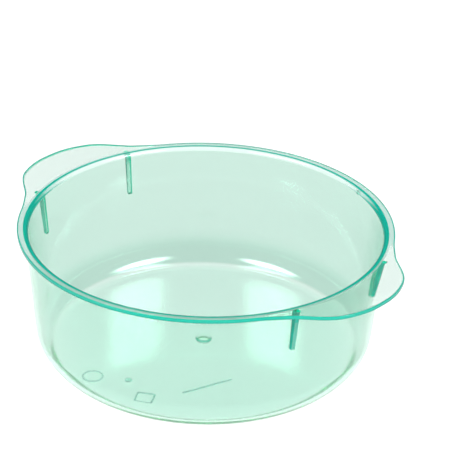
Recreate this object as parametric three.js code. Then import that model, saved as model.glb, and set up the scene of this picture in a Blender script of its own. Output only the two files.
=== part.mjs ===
// Hair colour bowl: a transparent, thin-walled mixing bowl made as one injection moulding.
// Each moulded feature is its own closed mesh: floor, gate boss, side wall, rim, two handles,
// four stacking ribs, the locating pip and the small raised marks on the floor.
// Units are millimetres and +Z is up. The origin is the middle of the underside, and the
// handles lie along +X and -X.

import * as THREE from 'three';

// ---- driving dimensions ----
const LIP_RADIUS = 60;            // outer edge of the flat lip
const BOWL_HEIGHT = 44;           // underside to the top face of the lip
const LIP_THICKNESS = 1.15;
const WALL_THICKNESS = 1.2;
const MOUTH_RADIUS = 56.5;        // inside of the wall at the mouth
const MOUTH_EDGE = 0.25;          // small rounding of the mouth's edge onto the lip
const UNDER_LIP_RADIUS = 0.25;    // small fillet between the wall's outside and the lip
const DRAFT = THREE.MathUtils.degToRad(5.2);
const HEEL_RADIUS = 12.35;        // outside arc that turns the wall in towards the floor
const HEEL_HEIGHT = 10.8;         // centre of that arc above the underside
const FOOT_RADIUS = 5;            // outside rounding from the heel arc onto the underside
const FLOOR_THICKNESS = 2.4;
const FLOOR_FILLET = 3;           // inside rounding from the heel arc onto the floor
const FLOOR_SPLIT = 46;           // radius where the floor's solid meets the wall's solid

const HANDLE_BODY_REACH = 8.1;    // broad swelling of the lip
const HANDLE_BODY_ANGLES = [2, 34.5];   // degrees from its middle where its side starts and ends
const HANDLE_TAB_REACH = 3.2;     // squarer tab on top of the swelling
const HANDLE_TAB_ANGLES = [12, 24.5];
const HANDLE_HALF_SPAN = 33;      // degrees, a whole number of lip facets
const HANDLE_LIFT = THREE.MathUtils.degToRad(1.25);

const RIB_ANGLE = 20.7;           // degrees from a handle's middle
const RIB_WIDTH = 1.4;
const RIB_DROP = 14.9;            // lowest point below the top face of the lip
const RIB_DEPTH_TOP = 2.0;
const RIB_DEPTH_BOTTOM = 1.2;

const GATE_SOCKET_RADIUS = 3.3;   // where the boss meets the floor
const GATE_BOSS_RADIUS = 2.5;
const GATE_BOSS_RISE = 0.55;      // above the inside of the floor
const GATE_WELL_RADIUS = 1.9;     // hollow in the underside that keeps the sprue stub clear
const GATE_WELL_DEPTH = 0.6;

const PIP_ANGLE = 71;             // degrees from the +X handle
const PIP_SIZE = [0.5, 1.3, 0.8]; // out from the wall, along it, and upright
const PIP_DROP = 1.9;             // middle of the pip below the top face of the lip

const MARK_HEIGHT = 0.25;
const MARK_LINE = 0.6;

const FEATURE_GAP = 0.05;         // hairline that keeps the ribs, pip and boss off their neighbours

const LATHE_SEGMENTS = 120;       // 3 degrees a facet
const BOSS_SEGMENTS = 40;
const FACET = 360 / LATHE_SEGMENTS;
const HEEL_STEPS = 6;
const FILLET_STEPS = 4;
const EDGE_STEPS = 2;

const TINT = 0x8fdcc4;
const EDGE_TINT = 0x2fae8c;

// ---- materials ----
function clearPlastic(color, opacity) {
  const look = { color, roughness: 0.08, metalness: 0, transparent: true, opacity };
  return new THREE.MeshStandardMaterial(look);
}

// ---- profile of the shell ----
const LIP_UNDERSIDE = BOWL_HEIGHT - LIP_THICKNESS;
const RIM_Z = LIP_UNDERSIDE - UNDER_LIP_RADIUS;   // where the wall's solid meets the rim's
const MOUTH_Z = BOWL_HEIGHT - MOUTH_EDGE;
const HEEL_INNER_RADIUS = HEEL_RADIUS - WALL_THICKNESS;

function innerRadiusAt(z) {
  return MOUTH_RADIUS - (MOUTH_Z - z) * Math.tan(DRAFT);
}

function outerRadiusAt(z) {
  return innerRadiusAt(z) + WALL_THICKNESS / Math.cos(DRAFT);
}

// The heel's arcs are tangent to the drafted wall, and a smaller arc inside each one runs on
// from it, tangent, to the flat face below.
const HEEL_CENTRE = outerRadiusAt(HEEL_HEIGHT) - HEEL_RADIUS / Math.cos(DRAFT);

function footOf(heelRadius, filletRadius, flatZ) {
  const height = flatZ + filletRadius;
  const out = Math.sqrt((heelRadius - filletRadius) ** 2 - (HEEL_HEIGHT - height) ** 2);
  return { r: HEEL_CENTRE + out, z: height, join: Math.atan2(height - HEEL_HEIGHT, out) };
}

function arc(centreR, centreZ, radius, fromAngle, toAngle, steps) {
  const points = [];
  for (let i = 0; i <= steps; i += 1) {
    const angle = fromAngle + (toAngle - fromAngle) * (i / steps);
    points.push(point(centreR + radius * Math.cos(angle), centreZ + radius * Math.sin(angle)));
  }
  return points;
}

function point(r, z) {
  return new THREE.Vector2(r, z);
}

// Turns an anticlockwise (radius, height) outline about Z.
function revolve(outline, segments = LATHE_SEGMENTS) {
  const geometry = new THREE.LatheGeometry(outline, segments);
  geometry.rotateX(Math.PI / 2);
  return geometry;
}

// Skins a row of cross-sections, each a four-cornered loop, and closes both ends.
function loft(sections) {
  const geometry = new THREE.BufferGeometry();
  const index = [];
  const quad = (a, b, c, d) => index.push(a, b, c, a, c, d);
  for (let i = 0; i + 1 < sections.length; i += 1) {
    for (let side = 0; side < 4; side += 1) {
      const next = (side + 1) % 4;
      quad(4 * i + side, 4 * i + next, 4 * i + 4 + next, 4 * i + 4 + side);
    }
  }
  const last = 4 * (sections.length - 1);
  quad(3, 2, 1, 0);
  quad(last, last + 1, last + 2, last + 3);
  geometry.setAttribute('position', new THREE.Float32BufferAttribute(sections.flat(2), 3));
  geometry.setIndex(index);
  geometry.computeVertexNormals();
  return geometry;
}

function closed(outline) {
  return [...outline, outline[0].clone()];
}

function named(name, geometry, material) {
  const mesh = new THREE.Mesh(geometry, material);
  mesh.name = name;
  return mesh;
}

// ---- floor, with the gate boss in its middle ----
function makeFloor() {
  const outline = [
    point(GATE_SOCKET_RADIUS, 0),
    point(FLOOR_SPLIT, 0),
    point(FLOOR_SPLIT, FLOOR_THICKNESS),
    point(GATE_SOCKET_RADIUS, FLOOR_THICKNESS),
  ];
  return named('bowl_floor', revolve(closed(outline)), clearPlastic(TINT, 0.45));
}

function makeGateBoss() {
  const top = FLOOR_THICKNESS + GATE_BOSS_RISE;
  const outside = GATE_SOCKET_RADIUS - FEATURE_GAP;
  const outline = [
    point(0, GATE_WELL_DEPTH),
    point(GATE_WELL_RADIUS, GATE_WELL_DEPTH),
    point(GATE_WELL_RADIUS + 0.4, 0),
    point(outside, 0),
    point(outside, FLOOR_THICKNESS),
    point(GATE_BOSS_RADIUS + 0.1, FLOOR_THICKNESS),
    point(GATE_BOSS_RADIUS, top - 0.1),
    point(GATE_BOSS_RADIUS - 0.15, top),
    point(0, top),
  ];
  return named('gate_boss', revolve(outline, BOSS_SEGMENTS), clearPlastic(EDGE_TINT, 0.6));
}

// ---- side wall, with the large rounded heel at its foot ----
function makeSideWall() {
  const foot = footOf(HEEL_RADIUS, FOOT_RADIUS, 0);
  const fillet = footOf(HEEL_INNER_RADIUS, FLOOR_FILLET, FLOOR_THICKNESS);
  const down = -Math.PI / 2;
  const outline = [
    point(FLOOR_SPLIT, 0),
    ...arc(foot.r, foot.z, FOOT_RADIUS, down, foot.join, FILLET_STEPS),
    ...arc(HEEL_CENTRE, HEEL_HEIGHT, HEEL_RADIUS, foot.join, -DRAFT, HEEL_STEPS).slice(1),
    point(outerRadiusAt(RIM_Z), RIM_Z),
    point(innerRadiusAt(RIM_Z), RIM_Z),
    ...arc(HEEL_CENTRE, HEEL_HEIGHT, HEEL_INNER_RADIUS, -DRAFT, fillet.join, HEEL_STEPS),
    ...arc(fillet.r, fillet.z, FLOOR_FILLET, fillet.join, down, FILLET_STEPS).slice(1),
    point(FLOOR_SPLIT, FLOOR_THICKNESS),
  ];
  return named('side_wall', revolve(closed(outline)), clearPlastic(TINT, 0.4));
}

// ---- rim: the wall's top edge, flanged outward into a narrow flat lip ----
function makeRim() {
  const wallOutside = outerRadiusAt(RIM_Z);
  const outline = [
    point(wallOutside, RIM_Z),
    point(wallOutside + UNDER_LIP_RADIUS, LIP_UNDERSIDE),
    point(LIP_RADIUS, LIP_UNDERSIDE),
    point(LIP_RADIUS, BOWL_HEIGHT),
    ...arc(MOUTH_RADIUS + MOUTH_EDGE, MOUTH_Z, MOUTH_EDGE, Math.PI / 2, Math.PI, EDGE_STEPS),
    point(innerRadiusAt(RIM_Z), RIM_Z),
  ];
  return named('rim_lip', revolve(closed(outline)), clearPlastic(EDGE_TINT, 0.6));
}

// ---- handles: the lip widens into a flat tab with hollow shoulders ----
function handleReach(degrees) {
  const turn = Math.abs(degrees);
  const body = 1 - THREE.MathUtils.smoothstep(turn, ...HANDLE_BODY_ANGLES);
  const tab = 1 - THREE.MathUtils.smoothstep(turn, ...HANDLE_TAB_ANGLES);
  return HANDLE_BODY_REACH * body + HANDLE_TAB_REACH * tab;
}

// The handle's inner edge lies on the lip's facets, and the tab rises gently outward from it.
function makeHandle(name, middle) {
  const halfFacet = FACET / 2;
  const facetMiddleRadius = LIP_RADIUS * Math.cos(THREE.MathUtils.degToRad(halfFacet));
  const steps = HANDLE_HALF_SPAN / halfFacet;
  const sections = [];
  for (let i = -steps; i <= steps; i += 1) {
    const turn = i * halfFacet;
    const angle = THREE.MathUtils.degToRad(turn + middle);
    const reach = handleReach(turn);
    const inner = i % 2 === 0 ? LIP_RADIUS : facetMiddleRadius;
    const rise = reach * Math.tan(HANDLE_LIFT);
    const corner = (radius, z) => [radius * Math.cos(angle), radius * Math.sin(angle), z];
    sections.push([
      corner(inner, LIP_UNDERSIDE),
      corner(inner, BOWL_HEIGHT),
      corner(LIP_RADIUS + reach, BOWL_HEIGHT + rise),
      corner(LIP_RADIUS + reach, LIP_UNDERSIDE + rise),
    ]);
  }
  return named(name, loft(sections), clearPlastic(TINT, 0.5));
}

// ---- stacking ribs under the handles' roots: their feet stand on the next bowl's rim ----
function makeRib(name, degrees) {
  const top = RIM_Z - FEATURE_GAP;
  const foot = BOWL_HEIGHT - RIB_DROP;
  const section = (z, depth) => {
    const inner = outerRadiusAt(z) + FEATURE_GAP;
    const outer = outerRadiusAt(z) + depth;
    const half = RIB_WIDTH / 2;
    return [[inner, -half, z], [outer, -half, z], [outer, half, z], [inner, half, z]];
  };
  const geometry = loft([section(foot, RIB_DEPTH_BOTTOM), section(top, RIB_DEPTH_TOP)]);
  const rib = named(name, geometry, clearPlastic(EDGE_TINT, 0.7));
  rib.rotation.z = THREE.MathUtils.degToRad(degrees);
  return rib;
}

// ---- locating pip on the outside of the wall, just under the lip ----
function makePip() {
  const [out, , height] = PIP_SIZE;
  const z = BOWL_HEIGHT - PIP_DROP;
  const geometry = new THREE.BoxGeometry(...PIP_SIZE);
  geometry.translate(outerRadiusAt(z + height / 2) + FEATURE_GAP + out / 2, 0, z);
  const pip = named('locating_pip', geometry, clearPlastic(EDGE_TINT, 0.8));
  pip.rotation.z = THREE.MathUtils.degToRad(PIP_ANGLE);
  return pip;
}

// ---- small raised marks on the inside of the floor: plain shapes with no meaning ----
function makeMark(name, shape, x, y, turn = 0) {
  const options = { depth: MARK_HEIGHT, bevelEnabled: false, curveSegments: 20 };
  const geometry = new THREE.ExtrudeGeometry(shape, options);
  const mark = named(name, geometry, clearPlastic(EDGE_TINT, 0.7));
  mark.position.set(x, y, FLOOR_THICKNESS);
  mark.rotation.z = THREE.MathUtils.degToRad(turn);
  return mark;
}

function disc(radius) {
  return new THREE.Shape().absarc(0, 0, radius, 0, 2 * Math.PI, false);
}

function ring(radius) {
  const shape = disc(radius);
  shape.holes.push(new THREE.Path().absarc(0, 0, radius - MARK_LINE, 0, 2 * Math.PI, true));
  return shape;
}

function square(half) {
  return [point(-half, -half), point(half, -half), point(half, half), point(-half, half)];
}

function squareRing(half) {
  const shape = new THREE.Shape(square(half));
  shape.holes.push(new THREE.Path(square(half - MARK_LINE).reverse()));
  return shape;
}

function bar(length, width) {
  const shape = new THREE.Shape();
  shape.absarc(length / 2, 0, width / 2, -Math.PI / 2, Math.PI / 2, false);
  shape.absarc(-length / 2, 0, width / 2, Math.PI / 2, 1.5 * Math.PI, false);
  return shape;
}

// ---- assembly ----
const bowl = new THREE.Group();
bowl.name = 'hair_color_bowl';
bowl.add(makeFloor(), makeGateBoss(), makeSideWall(), makeRim());
bowl.add(makeHandle('handle_right', 0), makeHandle('handle_left', 180));
bowl.add(makeRib('stacking_rib_1', RIB_ANGLE), makeRib('stacking_rib_2', 180 - RIB_ANGLE));
bowl.add(makeRib('stacking_rib_3', 180 + RIB_ANGLE), makeRib('stacking_rib_4', -RIB_ANGLE));
bowl.add(makePip());
bowl.add(makeMark('mark_ring', ring(3.4), -9.4, -41.6));
bowl.add(makeMark('mark_dot', disc(1.2), 0.2, -35.5));
bowl.add(makeMark('mark_square', squareRing(3), 11.1, -39.6, 30));
bowl.add(makeMark('mark_bar', bar(17, 0.7), 20.5, -21, 71));

export default bowl;
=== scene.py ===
"""Hair colour bowl: one clear aqua-green moulding on a pale table under two soft boxes.

The moulding is one closed skin: a profile of rings carried round Z, which bulges into four
stacking ribs on the outside and widens into two handle tabs. The pip under the lip and the
small raised marks on the floor are pieces of their own. Lengths are millimetres until they
are written into a mesh.
"""

import math

import bmesh
import bpy
from mathutils import Matrix, Vector


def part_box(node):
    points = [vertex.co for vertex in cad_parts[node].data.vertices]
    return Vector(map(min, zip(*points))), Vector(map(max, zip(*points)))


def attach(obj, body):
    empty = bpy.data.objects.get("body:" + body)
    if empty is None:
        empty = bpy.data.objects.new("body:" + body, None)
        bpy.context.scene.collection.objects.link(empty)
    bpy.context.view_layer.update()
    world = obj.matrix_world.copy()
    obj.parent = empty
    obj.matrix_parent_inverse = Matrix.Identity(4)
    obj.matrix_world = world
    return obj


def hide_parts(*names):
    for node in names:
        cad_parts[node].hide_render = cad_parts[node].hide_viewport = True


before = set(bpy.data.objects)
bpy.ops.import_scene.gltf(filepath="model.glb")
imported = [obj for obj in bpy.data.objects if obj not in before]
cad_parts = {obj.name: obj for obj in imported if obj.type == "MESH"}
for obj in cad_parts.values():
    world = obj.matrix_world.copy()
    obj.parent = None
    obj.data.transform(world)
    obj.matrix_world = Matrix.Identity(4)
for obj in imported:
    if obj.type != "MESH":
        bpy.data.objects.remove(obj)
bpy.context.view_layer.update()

MM = 0.001


def box_mm(node):
    low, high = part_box(node)
    return [c / MM for c in low], [c / MM for c in high]


# ---- sizes taken from the frame ----
rim_high = box_mm("rim_lip")[1]
HEIGHT = rim_high[2]
LIP_RADIUS = rim_high[1]
FLOOR_TOP = box_mm("bowl_floor")[1][2]
HANDLE_REACH = box_mm("handle_right")[1][0] - LIP_RADIUS
RIB_FOOT = box_mm("stacking_rib_1")[0][2]
BOSS_TOP = box_mm("gate_boss")[1][2]

# ---- driving dimensions of the moulding ----
LIP_THICKNESS = 1.15
WALL = 1.2
DRAFT = math.radians(5.2)
MOUTH_RADIUS = 56.5
MOUTH_ROUND = 1.2                # rounding from the wall's inside over onto the lip
LIP_RISE = 0.17                  # from the mouth out to the lip's edge
EDGE_ROUND = 0.12                # both edges of the lip
UNDER_LIP_FILLET = 0.6
HEEL_RADIUS = 12.35
HEEL_HEIGHT = 10.8
FOOT_RADIUS = 5.0
FLOOR_FILLET = 3.0
HANDLE_BODY_ANGLES = (2.0, 34.5)
HANDLE_TAB_ANGLES = (12.0, 24.5)
HANDLE_TAB_SHARE = 0.283         # of the reach; the rest is the broad swelling under it
HANDLE_LIFT = math.radians(1.25)
RIB_ANGLE = 20.7
RIB_WIDTH = 1.4
RIB_DEPTH_TOP = 2.0
RIB_DEPTH_FOOT = 1.2
RIB_SOFTNESS = 0.09              # half-width of the slope at a rib's side
RIB_CAP = 3.2                    # the top of a rib with deeper painted glow, down from the lip
RIB_CAP_FADE = 1.6
WELL_DEPTH = 0.6
COLUMNS = 480
# Boss on the floor and well under it: radius, share of the boss's height or the well's depth.
BOSS_PROFILE = ((0, 1), (0.8, 1), (1.6, 1), (2.1, 1), (2.3, 0.97), (2.44, 0.85), (2.5, 0.5),
                (2.56, 0.15), (2.68, 0.03), (2.95, 0), (3.6, 0))
WELL_PROFILE = ((2.4, 0), (2.1, 0.03), (1.95, 0.2), (1.88, 0.75), (1.8, 0.95), (1.6, 1),
                (0.8, 1), (0, 1))
MIDDLE_RADIUS = BOSS_PROFILE[-1][0]   # plain floor starts here, on both faces

# ---- how strongly the painted teal glow shows, 0 to 1, and how far it reaches ----
MOUTH_BAND_PAST_WALL = 0.45      # full band on the lip, out from the wall's outside
LIP_BAND = 0.45                  # band on the rest of the lip
LIP_LINE = 0.5                   # width of the painted glow line along the lip's edge
LIP_LINE_FULL = 0.2
TAB_BAND_START = 1.3             # beyond this, out from the wall, a handle has no band
LIP_EDGE_PLAIN = 0.85            # lip's edge away from the handles; 1 on a handle
RIB_FACE = 0.7
RIB_CAP_EXTRA = 0.25

# ---- share of the painted shade laid on what is seen through the plastic ----
FLOOR_SHADE = 0.36
OUTER_SHADE = 0.1
UPPER_WALL_DROP = 0.19


# ---- profile ----
UNDERSIDE = HEIGHT - LIP_THICKNESS
MOUTH_Z = HEIGHT - LIP_RISE - MOUTH_ROUND
HEEL_INNER = HEEL_RADIUS - WALL


def inner_radius(z):
    return MOUTH_RADIUS - (HEIGHT - z) * math.tan(DRAFT)


def outer_radius(z):
    return inner_radius(z) + WALL / math.cos(DRAFT)


HEEL_CENTRE = outer_radius(HEEL_HEIGHT) - HEEL_RADIUS / math.cos(DRAFT)


def arc(centre_r, centre_z, radius, start, stop, steps):
    points = []
    for i in range(steps + 1):
        angle = start + (stop - start) * i / steps
        points.append((centre_r + radius * math.cos(angle), centre_z + radius * math.sin(angle)))
    return points


def spread(start, stop, steps):
    return [start + (stop - start) * i / steps for i in range(steps + 1)]


def smoothstep(x, low, high):
    t = min(1.0, max(0.0, (x - low) / (high - low)))
    return t * t * (3 - 2 * t)


def foot_of(heel_radius, fillet, flat_z):
    """Centre of the small arc inside a heel arc that meets the flat face, and where they join."""
    z = flat_z + fillet
    out = math.sqrt((heel_radius - fillet) ** 2 - (HEEL_HEIGHT - z) ** 2)
    return HEEL_CENTRE + out, z, math.atan2(z - HEEL_HEIGHT, out)


# ---- handles and ribs as functions of the angle round Z, in degrees ----
def handle_reach(phi):
    turn = abs((phi + 90) % 180 - 90)
    body = 1 - smoothstep(turn, *HANDLE_BODY_ANGLES)
    tab = 1 - smoothstep(turn, *HANDLE_TAB_ANGLES)
    return HANDLE_REACH * ((1 - HANDLE_TAB_SHARE) * body + HANDLE_TAB_SHARE * tab)


RIBS = [RIB_ANGLE, 180 - RIB_ANGLE, 180 + RIB_ANGLE, 360 - RIB_ANGLE]
RIB_OFFSETS = [i * RIB_SOFTNESS / 3 for i in range(-4, 5)]


def slope(x):
    """1 inside an edge, 0 outside it, over a short soft slope."""
    return 1 - smoothstep(x, -RIB_SOFTNESS, RIB_SOFTNESS)


def rib_across(phi):
    best = 0.0
    for rib in RIBS:
        turn = math.radians((phi - rib + 180) % 360 - 180)
        best = max(best, slope(abs(turn) * outer_radius(UNDERSIDE) - RIB_WIDTH / 2))
    return best


def rib_depth(z):
    share = (z - RIB_FOOT) / (UNDERSIDE - RIB_FOOT)
    return (RIB_DEPTH_FOOT + (RIB_DEPTH_TOP - RIB_DEPTH_FOOT) * share) * slope(RIB_FOOT - z)


def column_angles():
    """Even columns, with finer ones where a rib's sides stand."""
    angles = [360 * i / COLUMNS for i in range(COLUMNS)]
    clear = 1.3
    for rib in RIBS:
        angles = [a for a in angles if abs((a - rib + 180) % 360 - 180) > clear]
        angles.append(rib)
        for side in (-1, 1):
            for offset in RIB_OFFSETS:
                turn = (RIB_WIDTH / 2 + offset) / outer_radius(UNDERSIDE)
                angles.append(rib + side * math.degrees(turn))
    return sorted(angles)


# ---- rings of the moulding, from the middle of the inside round to the middle of the underside.
# Each is (radius, height, kind, share of a handle's reach, painted edge glow, painted band
# glow). On kind "under", share is the way from the wall to the lip's edge.
def inside_rings():
    rings = []
    rise = BOSS_TOP - FLOOR_TOP
    for r, share in BOSS_PROFILE:
        # painted edge glow on the boss's sides
        on_side = 0.1 < share < 0.9
        rings.append((r, FLOOR_TOP + rise * share, "floor", 0, 1.0 if on_side else 0.0, 0))
    fillet_r, fillet_z, join = foot_of(HEEL_INNER, FLOOR_FILLET, FLOOR_TOP)
    for r in spread(MIDDLE_RADIUS, fillet_r, 10)[1:-1]:
        rings.append((r, FLOOR_TOP, "floor", 0, 0, 0))
    corner = arc(fillet_r, fillet_z, FLOOR_FILLET, -math.pi / 2, join, 8)
    corner += arc(HEEL_CENTRE, HEEL_HEIGHT, HEEL_INNER, join, -DRAFT, 16)[1:]
    rings += [(r, z, "wall", 0, 0, 0) for r, z in corner]
    for z in spread(corner[-1][1], MOUTH_Z - MOUTH_ROUND * math.sin(DRAFT), 14)[1:]:
        rings.append((inner_radius(z), z, "wall", 0, 0, 0))
    return rings


def mouth_rings():
    centre = inner_radius(MOUTH_Z) + MOUTH_ROUND / math.cos(DRAFT)
    bend = arc(centre, MOUTH_Z, MOUTH_ROUND, math.pi - DRAFT, math.pi / 2, 12)[1:]
    rings = []
    # painted band glow over the mouth's bend and the lip, painted edge glow along the lip's edge
    for r, z in bend:
        rings.append((r, z, "plain", 0, 0, smoothstep(z, MOUTH_Z - 0.05, MOUTH_Z + 0.15)))
    start = bend[-1][0]
    band_end = outer_radius(UNDERSIDE) + MOUTH_BAND_PAST_WALL
    lip_end = LIP_RADIUS - EDGE_ROUND
    line_start = lip_end - LIP_LINE
    line_full = lip_end - LIP_LINE_FULL
    still_end = line_start - 0.2     # rings up to here don't follow a handle outwards
    flat = spread(start, band_end, 3)[1:] + spread(band_end + 0.1, still_end, 4)
    flat += [line_start, line_full, lip_end]
    for r in flat:
        share = 1.0 if r > still_end else 0.0
        band = 1.0 if r <= band_end else LIP_BAND
        z = HEIGHT - LIP_RISE * (lip_end - r) / (lip_end - start)
        rings.append((r, z, "lip", share, 1.0 if r >= line_full else 0.0, band))
    for r, z in arc(lip_end, HEIGHT - EDGE_ROUND, EDGE_ROUND, math.pi / 2, 0, 4)[1:]:
        rings.append((r, z, "lip", 1, 1, 0))
    for r, z in arc(lip_end, UNDERSIDE + EDGE_ROUND, EDGE_ROUND, 0, -math.pi / 2, 4):
        rings.append((r, z, "lip", 1, 1, 0))
    root = outer_radius(UNDERSIDE) + UNDER_LIP_FILLET
    for share in spread(1, 0, 8)[1:]:
        rings.append((root + (lip_end - root) * share, UNDERSIDE, "under", share, 0, 0))
    return rings


def outside_rings():
    top = UNDERSIDE - UNDER_LIP_FILLET
    root = outer_radius(UNDERSIDE) + UNDER_LIP_FILLET
    rings = [(r, z, "outer", 0, 0, 0)
             for r, z in arc(root, top, UNDER_LIP_FILLET, math.pi / 2, math.pi, 4)[1:]]
    foot_r, foot_z, join = foot_of(HEEL_RADIUS, FOOT_RADIUS, 0)
    heel = arc(HEEL_CENTRE, HEEL_HEIGHT, HEEL_RADIUS, -DRAFT, join, 18)
    heights = spread(top, RIB_FOOT + 0.6, 8)[1:] + [RIB_FOOT - offset for offset in RIB_OFFSETS]
    heights += spread(heights[-1], heel[0][1], 10)[1:-1]
    rings += [(outer_radius(z), z, "outer", 0, 0, 0) for z in heights]
    rings += [(r, z, "plain", 0, 0, 0) for r, z in heel]
    rings += [(r, z, "plain", 0, 0, 0)
              for r, z in arc(foot_r, foot_z, FOOT_RADIUS, join, -math.pi / 2, 8)[1:]]
    rings += [(r, 0, "plain", 0, 0, 0) for r in spread(foot_r, MIDDLE_RADIUS, 10)[1:]]
    rings += [(r, WELL_DEPTH * share, "plain", 0, 0, 0) for r, share in WELL_PROFILE]
    return rings


def painted_shade_share(kind, z):
    """Share of the painted shade: some on the floor, most low on the wall, less higher up."""
    if kind == "floor":
        return FLOOR_SHADE
    if kind == "outer":
        return OUTER_SHADE
    if kind != "wall":
        return 0.0
    rise = (1 - FLOOR_SHADE) * smoothstep(z, FLOOR_TOP, FLOOR_TOP + 0.7)
    return FLOOR_SHADE + rise - UPPER_WALL_DROP * smoothstep(z, 8.0, 14.0)


def ring_point(ring, phi):
    """Place of one ring at one angle, in metres, and its painted edge glow, band glow and shade.
    """
    r, z, kind, share, edge, band = ring
    reach = handle_reach(phi)
    if kind == "lip":
        if r > outer_radius(UNDERSIDE) + TAB_BAND_START:
            band *= 1 - smoothstep(reach, 0.0, 0.8)
        r += share * reach
        edge *= LIP_EDGE_PLAIN + (1 - LIP_EDGE_PLAIN) * smoothstep(reach, 0.3, 2.5)
    elif kind == "under":
        root = outer_radius(UNDERSIDE) + UNDER_LIP_FILLET + rib_across(phi) * rib_depth(UNDERSIDE)
        r = root + (LIP_RADIUS - EDGE_ROUND + reach - root) * share
    elif kind == "outer":
        across = rib_across(phi)
        r += across * rib_depth(z)
        # painted glow on a rib: full on its sides, less on its face, more at its top
        near_top = smoothstep(z, UNDERSIDE - RIB_CAP, UNDERSIDE - RIB_CAP_FADE)
        side = 1.0 if 0.02 < across < 0.98 else 0.0
        face = across * (RIB_FACE + RIB_CAP_EXTRA * near_top)
        edge = slope(RIB_FOOT - z) * max(side, face)
    if kind in ("lip", "under"):
        z += max(0.0, r - LIP_RADIUS) * math.tan(HANDLE_LIFT)
    # painted shade: darkens what is seen through the plastic, most low on the inside of the wall
    wall = painted_shade_share(kind, z)
    angle = math.radians(phi)
    return (r * math.cos(angle) * MM, r * math.sin(angle) * MM, z * MM), edge, band, wall


def link(name, mesh):
    piece = bpy.data.objects.new(name, mesh)
    bpy.context.scene.collection.objects.link(piece)
    return piece


def make_moulding():
    angles = column_angles()
    bm = bmesh.new()
    # vertex shares of painted edge glow, painted band glow and painted shade
    edge_layer = bm.verts.layers.float.new("painted_edge_glow")
    band_layer = bm.verts.layers.float.new("painted_band_glow")
    painted_shade_layer = bm.verts.layers.float.new("painted_shade")
    grid = []
    for ring in inside_rings() + mouth_rings() + outside_rings():
        row = []
        for phi in (angles if ring[0] > 0 else angles[:1]):
            place, edge, band, wall = ring_point(ring, phi)
            vert = bm.verts.new(place)
            vert[edge_layer] = edge
            vert[band_layer] = band
            vert[painted_shade_layer] = wall
            row.append(vert)
        grid.append(row)
    for upper, lower in zip(grid, grid[1:]):
        for j in range(len(angles)):
            k = (j + 1) % len(angles)
            if len(upper) == 1:
                bm.faces.new((upper[0], lower[j], lower[k]))
            elif len(lower) == 1:
                bm.faces.new((upper[j], lower[0], upper[k]))
            else:
                bm.faces.new((upper[j], lower[j], lower[k], upper[k]))
    bmesh.ops.recalc_face_normals(bm, faces=bm.faces)
    mesh = bpy.data.meshes.new("bowl_moulding")
    bm.to_mesh(mesh)
    bm.free()
    mesh.shade_smooth()
    mesh.set_sharp_from_angle(angle=math.radians(40))
    return link("bowl_moulding", mesh)


# ---- materials ----
PLASTIC_IOR = 1.58
ABSORB_COLOUR = (0.22, 0.95, 0.70, 1)
ABSORB_DENSITY = 115.0
CLEAR = (0.96, 1.0, 0.98, 1)
# painted shade: colour that darkens what is seen through the plastic where a ray enters it
PAINTED_SHADE_COLOUR = (0.29, 0.49, 0.40, 1)
MIRROR_TINT = (0.85, 1.0, 0.97, 1)
# painted glow: teal base colour of glowing edges, deeper at grazing angles
PAINTED_GLOW_DEEP = (0.0, 0.27, 0.20, 1)
PAINTED_GLOW_BRIGHT = (0.0, 0.40, 0.29, 1)
# painted glow: teal of light that stays inside the sheet
TRAPPED_TEAL = (0.0, 0.62, 0.45, 1)
TRAPPED_GLOW = 0.08              # painted glow: emission where light stays inside the sheet
TRAPPED_SHARE = 0.2              # share of that light the surface scatters, as opaque painted teal
INNER_EDGE_GLOW = 0.5            # painted glow: emission of a coloured edge seen through the plastic
INNER_EDGE_POWER = 3.0           # weak painted edge glow fades when seen through the plastic
# painted shade at grazing angles, where a ray enters the plastic
GRAZING_SHADE = 0.35


def math_node(tree, operation, *values, clamp=False):
    node = tree.nodes.new("ShaderNodeMath")
    node.operation = operation
    node.use_clamp = clamp
    for socket, value in zip(node.inputs, values):
        if isinstance(value, (int, float)):
            socket.default_value = value
        else:
            tree.links.new(value, socket)
    return node.outputs[0]


def noise_node(tree, scale, detail):
    where = tree.nodes.new("ShaderNodeTexCoord")
    noise = tree.nodes.new("ShaderNodeTexNoise")
    noise.inputs["Scale"].default_value = scale
    noise.inputs["Detail"].default_value = detail
    tree.links.new(where.outputs["Object"], noise.inputs["Vector"])
    return noise.outputs["Fac"]


def map_node(tree, value, low, high, to_low, to_high):
    node = tree.nodes.new("ShaderNodeMapRange")
    node.inputs["From Min"].default_value = low
    node.inputs["From Max"].default_value = high
    node.inputs["To Min"].default_value = to_low
    node.inputs["To Max"].default_value = to_high
    tree.links.new(value, node.inputs["Value"])
    return node.outputs["Result"]


def attribute_node(tree, name):
    node = tree.nodes.new("ShaderNodeAttribute")
    node.attribute_name = name
    return node.outputs["Fac"]


def mix_node(tree, first, second, factor):
    """Colour mix; each colour is a fixed value or another node's output."""
    node = tree.nodes.new("ShaderNodeMix")
    node.data_type = "RGBA"
    for socket, value in ((node.inputs["A"], first), (node.inputs["B"], second)):
        if isinstance(value, tuple):
            socket.default_value = value
        else:
            tree.links.new(value, socket)
    tree.links.new(factor, node.inputs["Factor"])
    return node.outputs["Result"]


def painted_moulding_glow(tree, inside, grazing):
    """Painted edge glow and whole painted glow: edges, and the band at grazing angles."""
    power = math_node(tree, "MULTIPLY_ADD", inside, INNER_EDGE_POWER, 1.0)
    edge = math_node(tree, "POWER", attribute_node(tree, "painted_edge_glow"), power)
    deepening = map_node(tree, grazing, 0.3, 0.9, 0.2, 2.2)
    band = math_node(tree, "MULTIPLY", attribute_node(tree, "painted_band_glow"), deepening, clamp=True)
    return edge, math_node(tree, "MAXIMUM", edge, band)


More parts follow.
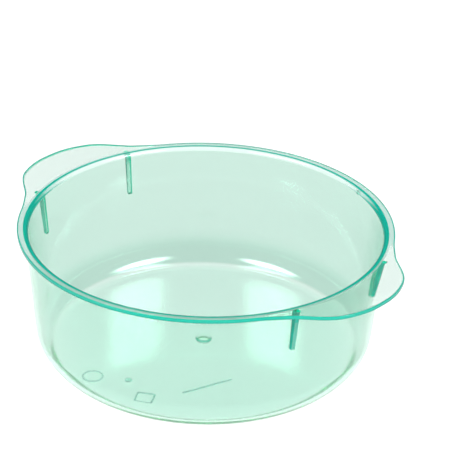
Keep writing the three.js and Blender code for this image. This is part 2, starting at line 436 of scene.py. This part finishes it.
def add_surface_texture(tree, shader, cloud):
    """Slightly uneven polish and a faint ripple."""
    tree.links.new(map_node(tree, cloud, 0.3, 0.7, 0.03, 0.06), shader.inputs["Roughness"])
    ripple = tree.nodes.new("ShaderNodeBump")
    ripple.inputs["Strength"].default_value = 0.04
    ripple.inputs["Distance"].default_value = 0.0002
    tree.links.new(noise_node(tree, 160.0, 1.0), ripple.inputs["Height"])
    tree.links.new(ripple.outputs["Normal"], shader.inputs["Normal"])


def clear_plastic(name, steady_glow=None):
    """Clear tinted plastic whose edges carry a painted teal glow, standing in for light led along
    the sheet that comes out there; what is seen through it carries painted shade.

    The moulding reads its painted glow and shade from its vertices; a small piece has the same
    painted glow all over.
    """
    mat = bpy.data.materials.new(name)
    mat.use_nodes = True
    tree = mat.node_tree
    shader = tree.nodes["Principled BSDF"]
    shader.inputs["IOR"].default_value = PLASTIC_IOR
    shader.inputs["Specular Tint"].default_value = MIRROR_TINT
    shader.inputs["Emission Color"].default_value = TRAPPED_TEAL
    volume = tree.nodes.new("ShaderNodeVolumeAbsorption")
    volume.inputs["Color"].default_value = ABSORB_COLOUR
    volume.inputs["Density"].default_value = ABSORB_DENSITY
    tree.links.new(volume.outputs[0], tree.nodes["Material Output"].inputs["Volume"])

    cloud = noise_node(tree, 90.0, 2.0)
    layer = tree.nodes.new("ShaderNodeLayerWeight")
    layer.inputs["Blend"].default_value = 0.5
    grazing = layer.outputs["Facing"]
    inside = tree.nodes.new("ShaderNodeNewGeometry").outputs["Backfacing"]
    entering = math_node(tree, "SUBTRACT", 1.0, inside)
    # painted glow where a ray inside the plastic meets its surface past the critical angle
    past_critical = map_node(tree, grazing, 0.25, 0.4, 0.0, 1.0)
    trapped = math_node(tree, "MULTIPLY", inside, past_critical)
    if steady_glow is None:
        edge, glow = painted_moulding_glow(tree, inside, grazing)
    # a small piece: painted glow the same all over, a little uneven
    else:
        edge = glow = map_node(tree, cloud, 0.3, 0.7, steady_glow * 0.9, steady_glow * 1.1)

    # painted glow as emission: trapped light, and coloured edges seen through the plastic
    inner_edge = math_node(tree, "MULTIPLY", inside, edge)
    lit = math_node(tree, "ADD", math_node(tree, "MULTIPLY", trapped, TRAPPED_GLOW),
                    math_node(tree, "MULTIPLY", inner_edge, INNER_EDGE_GLOW))
    tree.links.new(lit, shader.inputs["Emission Strength"])

    # painted shade where a ray enters: darker low on the wall, on the floor and at grazing angles
    shade = math_node(tree, "ADD", attribute_node(tree, "painted_shade"),
                      map_node(tree, grazing, 0.6, 1.0, 0.0, GRAZING_SHADE))
    clear = mix_node(tree, CLEAR, PAINTED_SHADE_COLOUR, math_node(tree, "MULTIPLY", shade, entering))
    # painted glow: teal base colour, deeper at grazing angles, where painted or trapped glow is
    teal = mix_node(tree, PAINTED_GLOW_BRIGHT, PAINTED_GLOW_DEEP, map_node(tree, grazing, 0.2, 0.7, 0.0, 1.0))
    coloured = math_node(tree, "MULTIPLY_ADD", glow, 1.3, trapped, clamp=True)
    tree.links.new(mix_node(tree, clear, teal, coloured), shader.inputs["Base Color"])

    # painted glow is also opaque: less transmission there
    solid = math_node(tree, "MAXIMUM", glow,
                      math_node(tree, "MULTIPLY", trapped, TRAPPED_SHARE))
    transmitted = math_node(tree, "SUBTRACT", 1.0, solid)
    tree.links.new(transmitted, shader.inputs["Transmission Weight"])
    add_surface_texture(tree, shader, cloud)
    return mat


# ---- small raised pieces ----
def slab(name, outlines, low, high):
    """A flat plate from one outline, or from an outer and an inner outline of equal length."""
    bm = bmesh.new()
    loops = []
    for outline in outlines:
        loops.append([[bm.verts.new((x * MM, y * MM, z * MM)) for x, y in outline]
                      for z in (low, high)])
    count = len(outlines[0])
    for j in range(count):
        k = (j + 1) % count
        for bottom, top in loops:
            bm.faces.new((bottom[j], bottom[k], top[k], top[j]))
        if len(loops) == 2:
            for level in (0, 1):
                outer, inner = loops[0][level], loops[1][level]
                bm.faces.new((outer[j], outer[k], inner[k], inner[j]))
    if len(loops) == 1:
        bm.faces.new(loops[0][0])
        bm.faces.new(loops[0][1])
    bmesh.ops.recalc_face_normals(bm, faces=bm.faces)
    mesh = bpy.data.meshes.new(name)
    bm.to_mesh(mesh)
    bm.free()
    return link(name, mesh)


def circle(x, y, radius, count=48):
    angles = [2 * math.pi * i / count for i in range(count)]
    return [(x + radius * math.cos(a), y + radius * math.sin(a)) for a in angles]


def rounded_square(x, y, half, turn, corner, count=6):
    """Square with rounded corners, turned about its middle."""
    points = []
    for quarter in range(4):
        for i in range(count + 1):
            a = math.pi / 2 * (quarter + i / count)
            sx, sy = ((1, 1), (-1, 1), (-1, -1), (1, -1))[quarter]
            px = sx * (half - corner) + corner * math.cos(a)
            py = sy * (half - corner) + corner * math.sin(a)
            points.append((x + px * math.cos(turn) - py * math.sin(turn),
                           y + px * math.sin(turn) + py * math.cos(turn)))
    return points


def bar_outline(x, y, length, width, turn):
    points = []
    for end in (1, -1):
        for i in range(13):
            a = -math.pi / 2 + math.pi * i / 12 + (0 if end > 0 else math.pi)
            px = end * length / 2 + width / 2 * math.cos(a)
            py = width / 2 * math.sin(a)
            points.append((x + px * math.cos(turn) - py * math.sin(turn),
                           y + px * math.sin(turn) + py * math.cos(turn)))
    return points


def middle(node):
    low, high = box_mm(node)
    return (low[0] + high[0]) / 2, (low[1] + high[1]) / 2


MARK_LINE = 0.6
MARK_GAP = 0.02
MARK_HEIGHT = 0.14
SQUARE_HALF = 3.0
SQUARE_TURN = math.radians(30)
SQUARE_CORNERS = (0.5, 0.3)      # rounding of the outer and the inner outline
BAR_LENGTH = 17.0
BAR_WIDTH = 0.7
BAR_TURN = math.radians(71)
PIP_SIZE = (0.5, 1.3, 0.8)
PIP_BEVEL = 0.15
# painted teal glow, steady all over the marks and the pip
MARK_GLOW = 0.3
PIP_GLOW = 0.5


def half_width(node):
    low, high = box_mm(node)
    return (high[0] - low[0]) / 2


def make_marks():
    low, high = FLOOR_TOP + MARK_GAP, FLOOR_TOP + MARK_HEIGHT
    ring_x, ring_y = middle("mark_ring")
    ring_radius = half_width("mark_ring")
    ring = [circle(ring_x, ring_y, radius) for radius in (ring_radius, ring_radius - MARK_LINE)]
    dot = circle(*middle("mark_dot"), half_width("mark_dot"))
    square_x, square_y = middle("mark_square")
    square = [rounded_square(square_x, square_y, half, SQUARE_TURN, corner)
              for half, corner in zip((SQUARE_HALF, SQUARE_HALF - MARK_LINE), SQUARE_CORNERS)]
    bar = bar_outline(*middle("mark_bar"), BAR_LENGTH, BAR_WIDTH, BAR_TURN)
    return {
        "mark_ring": slab("raised_ring", ring, low, high),
        "mark_dot": slab("raised_dot", [dot], low, high),
        "mark_square": slab("raised_square", square, low, high),
        "mark_bar": slab("raised_bar", [bar], low, high),
    }


def make_pip():
    low, high = box_mm("locating_pip")
    x, y = middle("locating_pip")
    z = (low[2] + high[2]) / 2
    bm = bmesh.new()
    bmesh.ops.create_cube(bm, size=1.0)
    bmesh.ops.scale(bm, vec=Vector(PIP_SIZE) * MM, verts=bm.verts)
    bmesh.ops.bevel(bm, geom=bm.edges[:], offset=PIP_BEVEL * MM, segments=3, affect="EDGES")
    turn = Matrix.Rotation(math.atan2(y, x), 4, "Z")
    bm.transform(Matrix.Translation(Vector((x, y, z)) * MM) @ turn)
    mesh = bpy.data.meshes.new("side_pip")
    bm.to_mesh(mesh)
    bm.free()
    mesh.shade_smooth()
    return link("side_pip", mesh)


def finish_piece(piece, material, *nodes):
    piece.data.materials.append(material)
    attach(piece, "root")
    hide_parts(*nodes)


finish_piece(make_moulding(), clear_plastic("clear_green"),
             "bowl_floor", "gate_boss", "side_wall", "rim_lip", "handle_right", "handle_left",
             "stacking_rib_1", "stacking_rib_2", "stacking_rib_3", "stacking_rib_4")
for node, mark in make_marks().items():
    finish_piece(mark, clear_plastic("clear_green_" + mark.name, MARK_GLOW), node)
finish_piece(make_pip(), clear_plastic("clear_green_pip", PIP_GLOW), "locating_pip")


# ---- table ----
TABLE_HALF = 3.0
TABLE_DROP = 0.00002
TABLE_WHITE = (0.07, 0.07, 0.07, 1)
TABLE_GLOW = 1.05                # a light box, so that the bowl casts hardly any shadow


def make_table():
    bm = bmesh.new()
    corners = ((-1, -1), (1, -1), (1, 1), (-1, 1))
    bm.faces.new([bm.verts.new((x * TABLE_HALF, y * TABLE_HALF, -TABLE_DROP)) for x, y in corners])
    mesh = bpy.data.meshes.new("table_top")
    bm.to_mesh(mesh)
    bm.free()
    mat = bpy.data.materials.new("table_white")
    mat.use_nodes = True
    shader = mat.node_tree.nodes["Principled BSDF"]
    shader.inputs["Base Color"].default_value = TABLE_WHITE
    shader.inputs["Roughness"].default_value = 0.6
    shader.inputs["Emission Color"].default_value = (1, 1, 1, 1)
    shader.inputs["Emission Strength"].default_value = TABLE_GLOW
    shader.inputs["Specular IOR Level"].default_value = 0.0
    mesh.materials.append(mat)
    return link("table_top", mesh)


make_table()


# ---- light ----
CAMERA_AZIMUTH = 41.37
SOFTBOX_TURNS = {"left": -55, "right": 55}     # from the camera's azimuth
SOFTBOX_ELEVATION = 42
SOFTBOX_DISTANCE = 1.0
SOFTBOX_SIZE = (0.9, 0.4)
SOFTBOX_WATTS = 28.0
SOFTBOX_AIM = (0, 0, 0.03)
SOFTBOX_MIDDLE = 2.5                           # makes up for the fall-off towards the sides
WORLD_GLOW = 0.12


def direction(azimuth, elevation):
    """Unit vector from the bowl towards a light or camera; azimuth 0 looks along +Y."""
    a, e = math.radians(azimuth), math.radians(elevation)
    return Vector((math.sin(a) * math.cos(e), -math.cos(a) * math.cos(e), math.sin(e)))


def softbox(name, azimuth):
    """Lamp that is brightest in its middle and fades to nothing at its sides."""
    light = bpy.data.lights.new(name, "AREA")
    light.shape = "RECTANGLE"
    light.size, light.size_y = SOFTBOX_SIZE
    light.energy = SOFTBOX_WATTS
    light.use_nodes = True
    tree = light.node_tree
    where = tree.nodes.new("ShaderNodeNewGeometry")
    split = tree.nodes.new("ShaderNodeSeparateXYZ")
    tree.links.new(where.outputs["Parametric"], split.inputs[0])
    falls = []
    for axis in ("X", "Y"):
        side = math_node(tree, "ABSOLUTE", math_node(tree, "SUBTRACT", split.outputs[axis], 0.5))
        falls.append(map_node(tree, side, 0.5, 0.05, 0.0, 1.0))
    strength = math_node(tree, "POWER", math_node(tree, "MULTIPLY", falls[0], falls[1]), 2.0)
    strength = math_node(tree, "MULTIPLY", strength, SOFTBOX_MIDDLE)
    tree.links.new(strength, tree.nodes["Emission"].inputs["Strength"])
    lamp = link(name, light)
    back = direction(azimuth, SOFTBOX_ELEVATION)
    lamp.location = Vector(SOFTBOX_AIM) + back * SOFTBOX_DISTANCE
    lamp.rotation_mode = "QUATERNION"
    lamp.rotation_quaternion = (-back).to_track_quat("-Z", "Y")


for side, turn in SOFTBOX_TURNS.items():
    softbox("softbox_" + side, CAMERA_AZIMUTH + turn)

world = bpy.data.worlds.new("studio")
world.use_nodes = True
world.node_tree.nodes["Background"].inputs["Color"].default_value = (1, 1, 1, 1)
world.node_tree.nodes["Background"].inputs["Strength"].default_value = WORLD_GLOW
bpy.context.scene.world = world


# ---- camera ----
CAMERA_ELEVATION = 29.57
CAMERA_DISTANCE = 710.6
CAMERA_AIM_HEIGHT = 21.2
CAMERA_TILT = math.radians(-1.633)
CAMERA_PAN = math.radians(-0.486)
CAMERA_ROLL = math.radians(1.36)
CAMERA_LENS = 176.08
MOST_BOUNCES = 300               # light runs a long way inside the sheet


def make_camera():
    data = bpy.data.cameras.new("camera")
    camera = link("camera", data)
    azimuth = math.radians(CAMERA_AZIMUTH)
    back = direction(CAMERA_AZIMUTH, CAMERA_ELEVATION)
    look = -back
    right = Vector((math.cos(azimuth), math.sin(azimuth), 0))
    up = right.cross(look)
    place = Vector((0, 0, CAMERA_AIM_HEIGHT)) + back * CAMERA_DISTANCE
    tilt, pan, roll = CAMERA_TILT, CAMERA_PAN, CAMERA_ROLL
    look_tilted = look * math.cos(tilt) - up * math.sin(tilt)
    up_tilted = up * math.cos(tilt) + look * math.sin(tilt)
    look_final = look_tilted * math.cos(pan) - right * math.sin(pan)
    right_panned = right * math.cos(pan) + look_tilted * math.sin(pan)
    right_final = right_panned * math.cos(roll) + up_tilted * math.sin(roll)
    up_final = -right_panned * math.sin(roll) + up_tilted * math.cos(roll)
    pose = Matrix((right_final, up_final, -look_final)).transposed().to_4x4()
    pose.translation = place * MM
    camera.matrix_world = pose
    data.sensor_width = 36
    data.lens = CAMERA_LENS
    data.clip_start = 0.01
    data.clip_end = 100
    bpy.context.scene.camera = camera


make_camera()

cycles = bpy.context.scene.cycles
cycles.max_bounces = MOST_BOUNCES
cycles.transmission_bounces = MOST_BOUNCES
cycles.glossy_bounces = MOST_BOUNCES
cycles.diffuse_bounces = 4
cycles.caustics_refractive = True
cycles.caustics_reflective = True
cycles.blur_glossy = 0.0
bpy.context.scene.view_settings.view_transform = "Standard"
